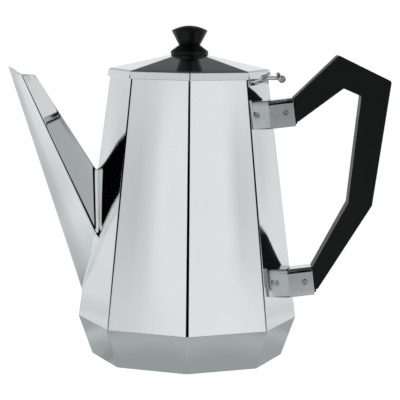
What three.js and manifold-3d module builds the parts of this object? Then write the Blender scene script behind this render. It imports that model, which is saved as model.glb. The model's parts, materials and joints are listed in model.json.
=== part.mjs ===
// Octagonal stainless steel coffee pot with a long spout, a hinged lid and a black angular handle.
// Millimetres, +Z up. The origin is the centre of the flat base, +X points to the handle,
// and the XZ plane is the plane of symmetry. The body's folds stand at 0, 45, 90 ... degrees.

import * as THREE from 'three';
import { ConvexGeometry } from 'three/addons/geometries/ConvexGeometry.js';
import { mergeVertices } from 'three/addons/utils/BufferGeometryUtils.js';
import Module from 'manifold-3d';

const wasm = await Module();
wasm.setup();

// ---------------------------------------------------------------- driving dimensions

const SIDES = 8;
const WALL = 0.8;                  // sheet thickness of the body, the spout and the lid
const GAP = 0.3;                   // room left between neighbouring pieces
const ROUND = 24;                  // segments of a large turned piece
const ROUND_SMALL = 14;            // segments of pins, rivets and holes

// Octagon radii are measured to the folds.
const BASE_RADIUS = 55;
const WIDE_RADIUS = 63;
const WIDE_HEIGHT = 22.3;
const BODY_HEIGHT = 163.6;
const BODY_TAPER = 0.1281;         // radius lost per millimetre of height above the widest ring

const LID_RADIUS = 47.2;           // at the lower edge of the skirt
const LID_SHOULDER_RADIUS = 45.9;
const LID_SKIRT_BOTTOM = 161;
const LID_SHOULDER_HEIGHT = 165.4;
const LID_TOP_RADIUS = 11.4;
const LID_TOP_HEIGHT = 173.2;

const KNOB_RADIUS = 10.7;
const KNOB_WAIST_RADIUS = 6.1;
const KNOB_BOTTOM = LID_TOP_HEIGHT + GAP;
const KNOB_WAIST_HEIGHT = 178.9;
const KNOB_RIM_HEIGHT = 187.1;
const KNOB_TOP = 189.9;
const SCREW_RADIUS = 1.8;
const SCREW_BORE = SCREW_RADIUS + 0.4;

// The four folds of the spout all run towards one point above the mouth.
const SPOUT_APEX = { x: -115.8, z: 204.2 };
const SPOUT_FRONT_RUN = 0.3246;    // run of each fold towards the body per millimetre of drop
const SPOUT_SIDE_RUN = 0.4825;
const SPOUT_BACK_RUN = 0.6576;
const SPOUT_SIDE_SPREAD = 0.1135;  // half width per millimetre of drop
const SPOUT_FOOT_HEIGHT = 32;
const SPOUT_MOUTH_HEIGHT = 161;
const SPOUT_LIP_HEIGHT = 165.6;

const STRAINER_HOLE_RADIUS = 1.8;
const STRAINER_ROWS = [56, 64, 72, 80, 88];
const STRAINER_COLUMNS = [3, 9];

const HINGE = { x: 52.4, z: 160.4 };
const KNUCKLE_RADIUS = 2.2;
const KNUCKLE_BORE = 1.2;
const HINGE_PIN_RADIUS = 0.95;
const LEAF_THICKNESS = 0.8;
const BODY_LEAF_BOTTOM = HINGE.z - 0.5;
const LID_STRAP_BOTTOM = BODY_LEAF_BOTTOM + LEAF_THICKNESS + GAP;
const LEAF_HALF_WIDTH = 10;
const LID_KNUCKLE_HALF_WIDTH = 4;
const BODY_LEAF_START = 40;        // x, inside the wall: the leaf is trimmed to the body
const LID_LEAF_BEND = 41;          // x where the lid's leaf bends up to the lid
const LID_LEAF_END = 36;           // x where it stops under the lid
const STOP_ROLL = { x: 50.6, z: 162.9, radius: 1.1 };

const BRACKET_SHEET = 1;
const SLEEVE_WIDTH = 16;           // across the handle
const SLEEVE_HEIGHT = 16;
const SLEEVE_REACH = 12.2;         // from the body's fold to the mouth of the sleeve
const SLEEVE_ROOT = 8;             // how far the sleeve runs back behind that fold
const PIN_TO_SLEEVE_MOUTH = 4.9;
const RIVET_SHANK_RADIUS = 1.2;
const RIVET_HEAD_RADIUS = 1.7;
const RIVET_HEAD_HEIGHT = 0.6;
const RIVET_HOLE_RADIUS = RIVET_SHANK_RADIUS + GAP;
const BRACKETS = {
  upper: { height: 140.15, wingEnd: 35.2, rivet: 32, shear: 0.12, gripTop: 7.6, gripBottom: -6.6 },
  lower: { height: 43.2, wingEnd: 41.2, rivet: 34.6, shear: 0.23, gripTop: 7.6, gripBottom: -7.5 },
};

const HANDLE_THICKNESS = 15.6;
const TANG_HALF_HEIGHT = SLEEVE_HEIGHT / 2 - BRACKET_SHEET - GAP;
const TANG_THICKNESS = SLEEVE_WIDTH - 2 * (BRACKET_SHEET + GAP);
const HANDLE_OUTSIDE = [[84.7, 174.1], [115, 159.6], [105.3, 88.5]]; // peak, shoulder, elbow
const HANDLE_INSIDE = [[91.4, 89.6], [97.8, 151], [87.7, 155.3]];    // elbow, shoulder, peak

// ---------------------------------------------------------------- materials

const finish = (color, roughness, metalness) => new THREE.MeshStandardMaterial(
  { color, roughness, metalness });
const polishedSteel = () => finish(0xc8cccd, 0.08, 1);
const brushedSteel = () => finish(0x9aa0a2, 0.35, 1);
const blackPlastic = () => finish(0x121414, 0.45, 0);

// ---------------------------------------------------------------- solids

function toSolid(geometry) {
  const bare = geometry.clone();
  bare.deleteAttribute('normal');
  bare.deleteAttribute('uv');
  const merged = mergeVertices(bare, 1e-4);
  return new wasm.Manifold(new wasm.Mesh({
    numProp: 3,
    vertProperties: new Float32Array(merged.attributes.position.array),
    triVerts: new Uint32Array(merged.index.array),
  }));
}

function toGeometry(solid) {
  const mesh = solid.getMesh();
  const geometry = new THREE.BufferGeometry();
  geometry.setAttribute('position', new THREE.BufferAttribute(mesh.vertProperties, 3));
  geometry.setIndex(new THREE.BufferAttribute(mesh.triVerts, 1));
  geometry.computeVertexNormals();
  return geometry;
}

// A profile of [radius, height] points turned about the Z axis.
function turned(profile, segments = ROUND) {
  const points = profile.map(([radius, height]) => new THREE.Vector2(radius, height));
  return new THREE.LatheGeometry(points, segments).rotateX(Math.PI / 2);
}

// A washer-shaped or hollow turned piece: the profile's outline is closed on itself.
const turnedRing = (profile, segments) => turned([...profile, profile[0]], segments);

const octagonal = (profile) => toSolid(turned(profile, SIDES));
const octagonalRing = (profile) => toSolid(turnedRing(profile, SIDES));

// An outline of [x, z] points given a thickness across the pot, from y = from to y = to.
function slab(outline, from, to) {
  const shape = new THREE.Shape(outline.map(([x, z]) => new THREE.Vector2(x, z)));
  const geometry = new THREE.ExtrudeGeometry(shape, { depth: to - from, bevelEnabled: false });
  return toSolid(geometry.rotateX(Math.PI / 2).translate(0, to, 0));
}

const centredSlab = (outline, thickness) => slab(outline, -thickness / 2, thickness / 2);

const hull = (points) => toSolid(new ConvexGeometry(points));

// A round bar from one point to another.
function bar(from, to, radius, segments = ROUND_SMALL) {
  const along = to.clone().sub(from);
  const geometry = new THREE.CylinderGeometry(radius, radius, along.length(), segments);
  const lengthwise = new THREE.Vector3(0, 1, 0);
  const turn = new THREE.Quaternion().setFromUnitVectors(lengthwise, along.clone().normalize());
  const middle = from.clone().add(to).multiplyScalar(0.5);
  return toSolid(geometry.applyQuaternion(turn).translate(middle.x, middle.y, middle.z));
}

const barAcross = (x, z, from, to, radius) => bar(
  new THREE.Vector3(x, from, z), new THREE.Vector3(x, to, z), radius);

const join = (solids) => solids.reduce((all, solid) => all.add(solid));
const mirrored = (solid) => solid.mirror([0, 1, 0]);

// ---------------------------------------------------------------- the body's shape

const FACET_HALF_ANGLE = Math.PI / SIDES;
const atFold = (distance) => distance / Math.cos(FACET_HALF_ANGLE);   // flat offset seen at a fold
const foldRadius = (height) => WIDE_RADIUS - BODY_TAPER * (height - WIDE_HEIGHT);

// The body's outer form grown or shrunk by an even distance, as a profile of its folds.
function bodyProfile(offset, bottom = 0, top = BODY_HEIGHT) {
  const more = atFold(offset);
  return [[BASE_RADIUS + more, bottom], [WIDE_RADIUS + more, WIDE_HEIGHT], [foldRadius(top) + more, top]];
}

// A solid of the body and a gap round it, taller than the body, for trimming what is fixed to it.
function bodyWithRoom() {
  const overTop = BODY_HEIGHT + 20;
  return octagonal([[0, 0], ...bodyProfile(GAP, 0, overTop), [0, overTop]]);
}

// Directions on the facet beside the handle's fold: up the fold, away from it, and out of the facet.
function facetFrame(side) {
  const up = new THREE.Vector3(-BODY_TAPER, 0, 1).normalize();
  const level = new THREE.Vector3(-Math.sin(FACET_HALF_ANGLE), side * Math.cos(FACET_HALF_ANGLE), 0);
  const away = level.sub(up.clone().multiplyScalar(level.dot(up))).normalize();
  const out = new THREE.Vector3().crossVectors(away, up).multiplyScalar(side).normalize();
  return { up, away, out };
}

// The point of a facet that lies `along` from the fold and `rise` up from the bracket's middle.
function facetPoint(bracket, side, along, rise, lift) {
  const { up, away, out } = facetFrame(side);
  return new THREE.Vector3(foldRadius(bracket.height), 0, bracket.height)
    .addScaledVector(away, along)
    .addScaledVector(up, rise)
    .addScaledVector(out, lift);
}

// The middle line of a wing climbs away from the sleeve.
const BEND_ALONG = (SLEEVE_WIDTH / 2) / Math.cos(FACET_HALF_ANGLE);
const wingRise = (bracket, along) => bracket.shear * (along - BEND_ALONG);

// ---------------------------------------------------------------- body, base and spout

function rivetHole(bracket, side) {
  const rise = wingRise(bracket, bracket.rivet);
  const inside = facetPoint(bracket, side, bracket.rivet, rise, -5);
  const outside = facetPoint(bracket, side, bracket.rivet, rise, 5);
  return bar(inside, outside, RIVET_HOLE_RADIUS);
}

// Rows of round holes through the wall, behind the spout's root.
function strainerHoles() {
  const topOfRoot = 107.3;
  const widestHeight = 69.2;
  const widestHalf = 15.3;
  const footOfRoot = 36.1;
  const holes = [];
  for (const z of STRAINER_ROWS) {
    const share = z > widestHeight
      ? (topOfRoot - z) / (topOfRoot - widestHeight)
      : (z - footOfRoot) / (widestHeight - footOfRoot);
    for (const y of STRAINER_COLUMNS) {
      if (y + 2 * STRAINER_HOLE_RADIUS > widestHalf * share) continue;
      for (const side of [-1, 1]) {
        holes.push(bar(
          new THREE.Vector3(-WIDE_RADIUS - 5, side * y, z),
          new THREE.Vector3(-WIDE_RADIUS / 2, side * y, z),
          STRAINER_HOLE_RADIUS, 10));
      }
    }
  }
  return holes;
}

// The lid's hinge leaf passes over the wall through a notch.
function rimNotch() {
  const floor = LID_STRAP_BOTTOM - GAP;
  const half = LID_KNUCKLE_HALF_WIDTH + GAP;
  return slab([[WIDE_RADIUS / 2, floor], [WIDE_RADIUS, floor], [WIDE_RADIUS, BODY_HEIGHT + 5],
    [WIDE_RADIUS / 2, BODY_HEIGHT + 5]], -half, half);
}

function bodyShell() {
  const inner = bodyProfile(-WALL).reverse();
  let shell = octagonalRing([...bodyProfile(0), ...inner]);
  for (const bracket of Object.values(BRACKETS)) {
    for (const side of [-1, 1]) shell = shell.subtract(rivetHole(bracket, side));
  }
  return shell.subtract(join(strainerHoles())).subtract(rimNotch());
}

function basePlate() {
  const thickness = 1.2;
  const lower = BASE_RADIUS - atFold(WALL + GAP);
  const upper = lower + (WIDE_RADIUS - BASE_RADIUS) * thickness / WIDE_HEIGHT;
  return octagonal([[0, 0], [lower, 0], [upper, thickness], [0, thickness]]);
}

// The four-sided cross-section of the spout at one height, moved in by an even distance.
function spoutSection(height, inset) {
  const drop = SPOUT_APEX.z - height;
  const front = SPOUT_APEX.x + SPOUT_FRONT_RUN * drop;
  const fold = SPOUT_APEX.x + SPOUT_SIDE_RUN * drop;
  const back = SPOUT_APEX.x + SPOUT_BACK_RUN * drop;
  const half = SPOUT_SIDE_SPREAD * drop;
  const frontAngle = Math.atan2(half, fold - front);
  const backAngle = Math.atan2(half, back - fold);
  const sideInset = inset / Math.cos((frontAngle + backAngle) / 2);
  return [
    new THREE.Vector3(front + inset / Math.sin(frontAngle), 0, height),
    new THREE.Vector3(fold, half - sideInset, height),
    new THREE.Vector3(back - inset / Math.sin(backAngle), 0, height),
    new THREE.Vector3(fold, sideInset - half, height),
  ];
}

function spoutForm(inset, foot, top) {
  return hull([...spoutSection(foot, inset), ...spoutSection(top, inset)]);
}

// Everything above the mouth: level behind the side folds, sweeping up to the lip in front of them.
function aboveMouth() {
  const level = SPOUT_MOUTH_HEIGHT;
  const foldX = SPOUT_APEX.x + SPOUT_SIDE_RUN * (SPOUT_APEX.z - level);
  const lipX = SPOUT_APEX.x + SPOUT_FRONT_RUN * (SPOUT_APEX.z - SPOUT_LIP_HEIGHT);
  const outline = [[WALL - WIDE_RADIUS, level], [foldX, level]];
  const steps = 4;
  for (let step = 1; step <= steps; step += 1) {
    const share = step / steps;
    const rise = (SPOUT_LIP_HEIGHT - level) * share * share * (3 - 2 * share);
    outline.push([foldX + (lipX - foldX) * share, level + rise]);
  }
  outline.push([lipX - 10, SPOUT_LIP_HEIGHT], [lipX - 10, SPOUT_APEX.z], [WALL - WIDE_RADIUS, SPOUT_APEX.z]);
  return centredSlab(outline, 60);
}

function spout() {
  const top = SPOUT_LIP_HEIGHT + 8;
  const outside = spoutForm(0, SPOUT_FOOT_HEIGHT, top);
  const inside = spoutForm(WALL * 1.1, SPOUT_FOOT_HEIGHT - 2, top + 2);
  return outside.subtract(inside).subtract(aboveMouth()).subtract(bodyWithRoom());
}

// ---------------------------------------------------------------- lid and knob

function lidShell() {
  const rim = atFold(WALL);
  const outline = [
    [LID_RADIUS, LID_SKIRT_BOTTOM], [LID_SHOULDER_RADIUS, LID_SHOULDER_HEIGHT],
    [LID_TOP_RADIUS, LID_TOP_HEIGHT], [SCREW_BORE + 0.4, LID_TOP_HEIGHT],
    [SCREW_BORE + 0.4, LID_TOP_HEIGHT - WALL], [LID_TOP_RADIUS, LID_TOP_HEIGHT - WALL],
    [LID_SHOULDER_RADIUS - rim, LID_SHOULDER_HEIGHT - WALL], [LID_RADIUS - rim, LID_SKIRT_BOTTOM],
  ];
  const half = LID_KNUCKLE_HALF_WIDTH + GAP;
  const ceiling = LID_STRAP_BOTTOM + LEAF_THICKNESS + GAP;
  const [start, end, floor] = [LID_SHOULDER_RADIUS - 10, LID_RADIUS + 2, LID_SKIRT_BOTTOM - 2];
  const notch = slab([[start, floor], [end, floor], [end, ceiling], [start, ceiling]], -half, half);
  return octagonalRing(outline).subtract(notch);
}

function knobBase() {
  const bevel = 0.5;
  const flareTop = KNOB_BOTTOM + 1.5;
  return toSolid(turnedRing([
    [SCREW_BORE, KNOB_BOTTOM], [KNOB_RADIUS - bevel, KNOB_BOTTOM], [KNOB_RADIUS, KNOB_BOTTOM + bevel],
    [KNOB_RADIUS, flareTop], [KNOB_WAIST_RADIUS, KNOB_WAIST_HEIGHT], [SCREW_BORE, KNOB_WAIST_HEIGHT],
  ]));
}

function knobCap() {
  const bottom = KNOB_WAIST_HEIGHT + GAP;
  const rimRadius = KNOB_RADIUS - 0.4;
  const boreEnd = KNOB_RIM_HEIGHT - 1;
  const dome = [];
  const steps = 5;
  for (let step = 0; step <= steps; step += 1) {
    const share = step / steps;
    dome.push([rimRadius * (1 - share), KNOB_TOP - (KNOB_TOP - KNOB_RIM_HEIGHT) * (1 - share) ** 2]);
  }
  return toSolid(turned([[0, boreEnd], [SCREW_BORE, boreEnd], [SCREW_BORE, bottom],
    [KNOB_WAIST_RADIUS, bottom], ...dome]));
}

const WASHER_TOP = LID_TOP_HEIGHT - WALL - GAP;
const WASHER_THICKNESS = 1;
const WASHER_RADIUS = 6;

function knobWasher() {
  return toSolid(turnedRing([
    [SCREW_BORE, WASHER_TOP - WASHER_THICKNESS], [WASHER_RADIUS, WASHER_TOP - WASHER_THICKNESS],
    [WASHER_RADIUS, WASHER_TOP], [SCREW_BORE, WASHER_TOP],
  ]));
}

function knobScrew() {
  const headRadius = 3.6;
  const headTop = WASHER_TOP - WASHER_THICKNESS - GAP;
  const headBottom = headTop - 2.2;
  const tip = KNOB_RIM_HEIGHT - 1 - GAP;
  return toSolid(turned([
    [0, headBottom], [headRadius - 0.6, headBottom], [headRadius, headBottom + 0.6], [headRadius, headTop],
    [SCREW_RADIUS, headTop], [SCREW_RADIUS, tip], [0, tip],
  ], ROUND_SMALL));
}

// ---------------------------------------------------------------- hinge

const knuckleBore = () => barAcross(HINGE.x, HINGE.z, -15, 15, KNUCKLE_BORE);

// A level plate that runs from the body's fold to the middle of the barrel, with two outer knuckles.
function hingeBodyLeaf() {
  const bottom = BODY_LEAF_BOTTOM;
  const plate = slab([[BODY_LEAF_START, bottom], [HINGE.x, bottom], [HINGE.x, bottom + LEAF_THICKNESS],
    [BODY_LEAF_START, bottom + LEAF_THICKNESS]], -LEAF_HALF_WIDTH, LEAF_HALF_WIDTH);
  const middle = LID_KNUCKLE_HALF_WIDTH + GAP;
  const room = slab([[HINGE.x - 3, bottom - 1], [HINGE.x + 3, bottom - 1], [HINGE.x + 3, HINGE.z + 1],
    [HINGE.x - 3, HINGE.z + 1]], -middle, middle);
  const knuckle = barAcross(HINGE.x, HINGE.z, middle, LEAF_HALF_WIDTH, KNUCKLE_RADIUS);
  return plate.subtract(room)
    .add(knuckle)
    .add(mirrored(knuckle))
    .subtract(knuckleBore())
    .subtract(bodyWithRoom());
}

// A strap from the barrel, through the notch in the body's rim, up to the underside of the lid.
function hingeLidLeaf() {
  const top = LID_STRAP_BOTTOM + LEAF_THICKNESS;
  const half = LID_KNUCKLE_HALF_WIDTH;
  const slope = (LID_TOP_HEIGHT - LID_SHOULDER_HEIGHT) / (LID_SHOULDER_RADIUS - LID_TOP_RADIUS);
  const underLid = (x) => LID_SHOULDER_HEIGHT - WALL - GAP - 0.15 + slope * (LID_SHOULDER_RADIUS - 1 - x);
  const bend = LID_LEAF_BEND;
  const strap = slab([
    [HINGE.x, LID_STRAP_BOTTOM], [HINGE.x, top], [bend + 2.5, top], [bend, underLid(bend)],
    [LID_LEAF_END, underLid(LID_LEAF_END)], [LID_LEAF_END, underLid(LID_LEAF_END) - LEAF_THICKNESS],
    [bend - 0.4, underLid(bend) - LEAF_THICKNESS], [bend + 2, LID_STRAP_BOTTOM],
  ], -half, half);
  const knuckle = barAcross(HINGE.x, HINGE.z, -half, half, KNUCKLE_RADIUS);
  const roll = barAcross(STOP_ROLL.x, STOP_ROLL.z, -half, half, STOP_ROLL.radius);
  return strap.add(knuckle).add(roll).subtract(knuckleBore());
}

// A straight pin with a peened head at each end.
function headedPin(halfLength, shankRadius, headRadius, headHeight) {
  return turned([
    [0, -halfLength - headHeight], [headRadius * 0.7, -halfLength - headHeight], [headRadius, -halfLength],
    [shankRadius, -halfLength], [shankRadius, halfLength], [headRadius, halfLength],
    [headRadius * 0.7, halfLength + headHeight], [0, halfLength + headHeight],
  ], ROUND_SMALL);
}

function hingePin() {
  return headedPin(LEAF_HALF_WIDTH + GAP, HINGE_PIN_RADIUS, 1.6, 0.5).rotateX(Math.PI / 2)
    .translate(HINGE.x, 0, HINGE.z);
}

// ---------------------------------------------------------------- brackets, rivets and handle

const SLEEVE_TILT = Math.atan(BODY_TAPER);

// A point beside a sleeve: `reach` out from the body's fold and `rise` above the sleeve's middle line.
function sleevePoint(bracket, reach, rise) {
  return [
    foldRadius(bracket.height) + reach * Math.cos(SLEEVE_TILT) - rise * Math.sin(SLEEVE_TILT),
    bracket.height + reach * Math.sin(SLEEVE_TILT) + rise * Math.cos(SLEEVE_TILT),
  ];
}

function sleeveBlock(bracket, from, to, bottom, top, thickness) {
  return centredSlab([sleevePoint(bracket, from, bottom), sleevePoint(bracket, to, bottom),
    sleevePoint(bracket, to, top), sleevePoint(bracket, from, top)], thickness);
}

function wing(bracket, side) {
  const corners = [];
  for (const along of [BEND_ALONG - 0.6, bracket.wingEnd]) {
    for (const half of [-SLEEVE_HEIGHT / 2, SLEEVE_HEIGHT / 2]) {
      for (const lift of [GAP, GAP + BRACKET_SHEET]) {
        corners.push(facetPoint(bracket, side, along, half + wingRise(bracket, along), lift));
      }
    }
  }
  return hull(corners);
}

// One folded sheet: a channel that opens downwards, and a wing on the facet at each side of the fold.
function handleBracket(bracket) {
  const half = SLEEVE_HEIGHT / 2;
  const outer = sleeveBlock(bracket, -SLEEVE_ROOT, SLEEVE_REACH, -half, half, SLEEVE_WIDTH);
  const inner = sleeveBlock(bracket, -SLEEVE_ROOT - 1, SLEEVE_REACH + 1, -half - 1, half - BRACKET_SHEET,
    SLEEVE_WIDTH - 2 * BRACKET_SHEET);
  const [pinX, pinZ] = sleevePoint(bracket, SLEEVE_REACH - PIN_TO_SLEEVE_MOUTH, 0);
  let solid = outer.subtract(inner).subtract(bodyWithRoom());
  for (const side of [-1, 1]) solid = solid.add(wing(bracket, side)).subtract(rivetHole(bracket, side));
  return solid.subtract(barAcross(pinX, pinZ, -SLEEVE_WIDTH, SLEEVE_WIDTH, RIVET_HOLE_RADIUS));
}

// A rivet through a wing and the body's wall, its middle halfway between its two heads.
function wingRivet(bracket, side) {
  const outerFace = GAP + BRACKET_SHEET + GAP;
  const innerFace = -WALL - GAP;
  const { out } = facetFrame(side);
  const middle = facetPoint(bracket, side, bracket.rivet, wingRise(bracket, bracket.rivet),
    (outerFace + innerFace) / 2);
  const turn = new THREE.Quaternion().setFromUnitVectors(new THREE.Vector3(0, 0, 1), out);
  return headedPin((outerFace - innerFace) / 2, RIVET_SHANK_RADIUS, RIVET_HEAD_RADIUS, RIVET_HEAD_HEIGHT)
    .applyQuaternion(turn)
    .translate(middle.x, middle.y, middle.z);
}

function handlePin(bracket) {
  const [x, z] = sleevePoint(bracket, SLEEVE_REACH - PIN_TO_SLEEVE_MOUTH, 0);
  return headedPin(SLEEVE_WIDTH / 2 + GAP / 2, RIVET_SHANK_RADIUS, RIVET_HEAD_RADIUS, RIVET_HEAD_HEIGHT / 2)
    .rotateX(Math.PI / 2)
    .translate(x, 0, z);
}

function handleGrip() {
  const start = SLEEVE_REACH + GAP;
  const { upper, lower } = BRACKETS;
  const bow = centredSlab([
    sleevePoint(upper, start, upper.gripTop), ...HANDLE_OUTSIDE, sleevePoint(lower, start, lower.gripBottom),
    sleevePoint(lower, start, lower.gripTop), ...HANDLE_INSIDE, sleevePoint(upper, start, upper.gripBottom),
  ], HANDLE_THICKNESS);
  let grip = bow;
  for (const bracket of Object.values(BRACKETS)) {
    const tang = sleeveBlock(bracket, 1, start + 1, -TANG_HALF_HEIGHT, TANG_HALF_HEIGHT, TANG_THICKNESS);
    const [x, z] = sleevePoint(bracket, SLEEVE_REACH - PIN_TO_SLEEVE_MOUTH, 0);
    grip = grip.add(tang).subtract(barAcross(x, z, -SLEEVE_WIDTH, SLEEVE_WIDTH, RIVET_HOLE_RADIUS));
  }
  return grip;
}

// ---------------------------------------------------------------- the pot

const pot = new THREE.Group();
const lid = new THREE.Group();
pot.add(lid);

function addPiece(group, name, shape, material) {
  const geometry = shape.isBufferGeometry ? shape : toGeometry(shape);
  const mesh = new THREE.Mesh(geometry, material);
  mesh.name = name;
  group.add(mesh);
}

addPiece(pot, 'body_shell', bodyShell(), polishedSteel());
addPiece(pot, 'base_plate', basePlate(), polishedSteel());
addPiece(pot, 'spout', spout(), polishedSteel());
addPiece(pot, 'hinge_body_leaf', hingeBodyLeaf(), brushedSteel());
addPiece(pot, 'hinge_pin', hingePin(), brushedSteel());
for (const [level, bracket] of Object.entries(BRACKETS)) {
  addPiece(pot, `${level}_bracket`, handleBracket(bracket), brushedSteel());
  addPiece(pot, `${level}_handle_pin`, handlePin(bracket), brushedSteel());
  addPiece(pot, `${level}_wing_rivet_near`, wingRivet(bracket, -1), brushedSteel());
  addPiece(pot, `${level}_wing_rivet_far`, wingRivet(bracket, 1), brushedSteel());
}
addPiece(pot, 'handle_grip', handleGrip(), blackPlastic());

addPiece(lid, 'lid_shell', lidShell(), polishedSteel());
addPiece(lid, 'hinge_lid_leaf', hingeLidLeaf(), brushedSteel());
addPiece(lid, 'knob_base', knobBase(), blackPlastic());
addPiece(lid, 'knob_cap', knobCap(), blackPlastic());
addPiece(lid, 'knob_screw', knobScrew(), brushedSteel());
addPiece(lid, 'knob_washer', knobWasher(), brushedSteel());

export default pot;
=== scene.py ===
"""Octagonal polished steel coffee pot: the looks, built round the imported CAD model. Metres, +Z up.

The pot stands on z = 0, the handle points to +X and the spout to -X. Lengths below are written in
millimetres and multiplied by MM.
"""

import json
import math

import bmesh
import bpy
from mathutils import Matrix, Vector


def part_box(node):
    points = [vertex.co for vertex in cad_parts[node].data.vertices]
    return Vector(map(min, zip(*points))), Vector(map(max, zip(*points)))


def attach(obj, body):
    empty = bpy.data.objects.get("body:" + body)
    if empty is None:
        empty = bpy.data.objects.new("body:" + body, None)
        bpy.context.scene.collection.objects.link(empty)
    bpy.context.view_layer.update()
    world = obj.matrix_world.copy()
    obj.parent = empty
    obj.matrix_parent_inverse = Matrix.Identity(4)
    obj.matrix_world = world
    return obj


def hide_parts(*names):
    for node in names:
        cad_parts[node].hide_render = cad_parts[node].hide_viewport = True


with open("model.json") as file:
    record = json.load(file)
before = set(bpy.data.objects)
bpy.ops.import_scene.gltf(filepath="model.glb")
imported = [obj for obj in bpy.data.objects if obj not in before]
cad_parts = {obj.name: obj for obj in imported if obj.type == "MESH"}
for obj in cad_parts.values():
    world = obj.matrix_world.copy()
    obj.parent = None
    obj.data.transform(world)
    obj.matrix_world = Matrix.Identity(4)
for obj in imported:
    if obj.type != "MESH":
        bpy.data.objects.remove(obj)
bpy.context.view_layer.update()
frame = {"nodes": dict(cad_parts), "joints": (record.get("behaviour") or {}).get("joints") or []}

# ---------------------------------------------------------------- dimensions

MM = 0.001
SIDES = 8
HALF_SIDE = math.pi / SIDES

BODY_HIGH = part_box("body_shell")[1]
BASE_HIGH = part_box("base_plate")[1]
LID_LOW, LID_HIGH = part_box("lid_shell")
CAP_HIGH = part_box("knob_cap")[1]
FOOT_LOW, FOOT_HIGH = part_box("knob_base")
LID_LEAF_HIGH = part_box("hinge_lid_leaf")[1]
GRIP_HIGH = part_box("handle_grip")[1]

WALL = 0.8 * MM
GAP = 0.3 * MM                       # left between neighbouring pieces
WIDE_RADIUS = BODY_HIGH.x
WIDE_HEIGHT = 22.3 * MM
BASE_RADIUS = 55 * MM
BODY_HEIGHT = BODY_HIGH.z
BODY_TAPER = 0.1281                  # how far a fold leans in, per metre of height
FOLD_RADIUS_TOP = 1.75 * MM
FOLD_RADIUS_BOTTOM = 2.5 * MM
PANEL_BOW = 0.32 * MM                # how far a panel stands out in its middle
SKIRT_BOW_SHARE = 0.3                # the same below the widest ring, as a share of it
BODY_ROUNDING = [0.5 * MM, 1.2 * MM, 0.35 * MM, 0.35 * MM, 0.8 * MM, 0.1 * MM]
BODY_ROW_LENGTH = 14 * MM
BASE_FOLD_RADIUS = 0.6 * MM
BASE_EDGE = 0.3 * MM
BASE_FIT = 0.05 * MM                 # between the base plate and the wall round it
ARC_STEPS = 8
PANEL_STEPS = 8

LID_SHOULDER_RADIUS = 45.9 * MM
LID_SHOULDER_HEIGHT = 165.4 * MM
LID_TOP_RADIUS = 11.4 * MM
LID_HOLE_RADIUS = 2.8 * MM
LID_FOLD_RADIUS = 1.5 * MM
LID_ROUNDING = [0.35 * MM, 1.9 * MM, 0.5 * MM, 0, 0, 0.3 * MM, 1.2 * MM, 0.35 * MM]
LID_ROW_LENGTH = 8 * MM
LID_FOLD_SHARE = 0.3                 # near the hole the folds are no rounder than this share of the width
BODY_NOTCH_START = 30 * MM
LID_NOTCH_START = 36 * MM

KNOB_WAIST_RADIUS = 6.1 * MM
KNOB_BORE_RADIUS = 2.2 * MM
KNOB_BORE_TOP = 186 * MM
KNOB_FLANGE = 2.2 * MM
KNOB_BEDDING = 0.22 * MM             # how far the foot reaches down towards the lid
KNOB_SEAM = 0.08 * MM                # between the foot and the cap
KNOB_RIM_HEIGHT = 187.1 * MM
KNOB_RIM_ROLL = 0.1 * MM             # how far the rim's rounding rises past that height
KNOB_FOOT_ROUNDING = [0, 0.3 * MM, 0.5 * MM, 0.25 * MM, 0]
KNOB_CAP_ROUNDING = [0, 0, 0.3 * MM, 0.45 * MM, 14 * MM, 0]
KNOB_DOME_SHARE = 0.93               # where the dome starts, as a share of the rim's radius
KNOB_DOME_SLOPE = (0.55, 0.72)       # the rim is rounded towards this share of its radius and the dome's rise
KNOB_DOME_STEPS = 12

# The spout's four folds fan out downwards from one point. A run is metres towards +X per metre of drop,
# and the spread is metres to each side per metre of drop.
SPOUT_APEX = Vector((-115.8 * MM, 0, 204.2 * MM))
SPOUT_FRONT_RUN = 0.3246
SPOUT_SIDE_RUN = 0.4825
SPOUT_BACK_RUN = 0.6576
SPOUT_SIDE_SPREAD = 0.1135
SPOUT_MOUTH_HEIGHT = 161 * MM
SPOUT_LIP_HEIGHT = 165.6 * MM
SPOUT_LIP_ROLL = 0.15 * MM
SPOUT_FOLDS = (0.006, 0.016, 0.012, 0.016)          # fold radii per metre of drop: front, side, back, side
SPOUT_INNER_FOLDS = (0.003, 0.010, 0.008, 0.010)
SPOUT_FRONT_BOW = 0.006              # how hollow the front panels are, per metre of drop
SPOUT_BACK_BOW = 0.0025
SPOUT_ARC_STEPS = 6
SPOUT_SIDE_STEPS = 14
SPOUT_LEVELS = 14
FILLET_STEPS = 8
FILLET_SIZE = 5.5 * MM
FILLET_TAIL = 14 * MM                # how far below the side folds the fillet fades
FILLET_LEAST = 0.2                   # what is left of it there
FILLET_LIFT = 0.03 * MM
CROTCH_HALF_WIDTH = 0.5 * MM
STRAINER_HOLE_RADIUS = 1.8 * MM
STRAINER_HOLES = [(56, 3), (64, 3), (64, 9), (72, 3), (72, 9), (80, 3), (88, 3)]     # height, spread in mm
STRAINER_TOOL_START = 30 * MM
STRAINER_TOOL_LENGTH = 40 * MM

HINGE_POINT = Vector(frame["joints"][0]["pos_m"])
LEAF_THICKNESS = 0.8 * MM
STRAP_BOTTOM = HINGE_POINT.z + 0.6 * MM
KNUCKLE_SPLIT = LID_LEAF_HIGH.y

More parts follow.
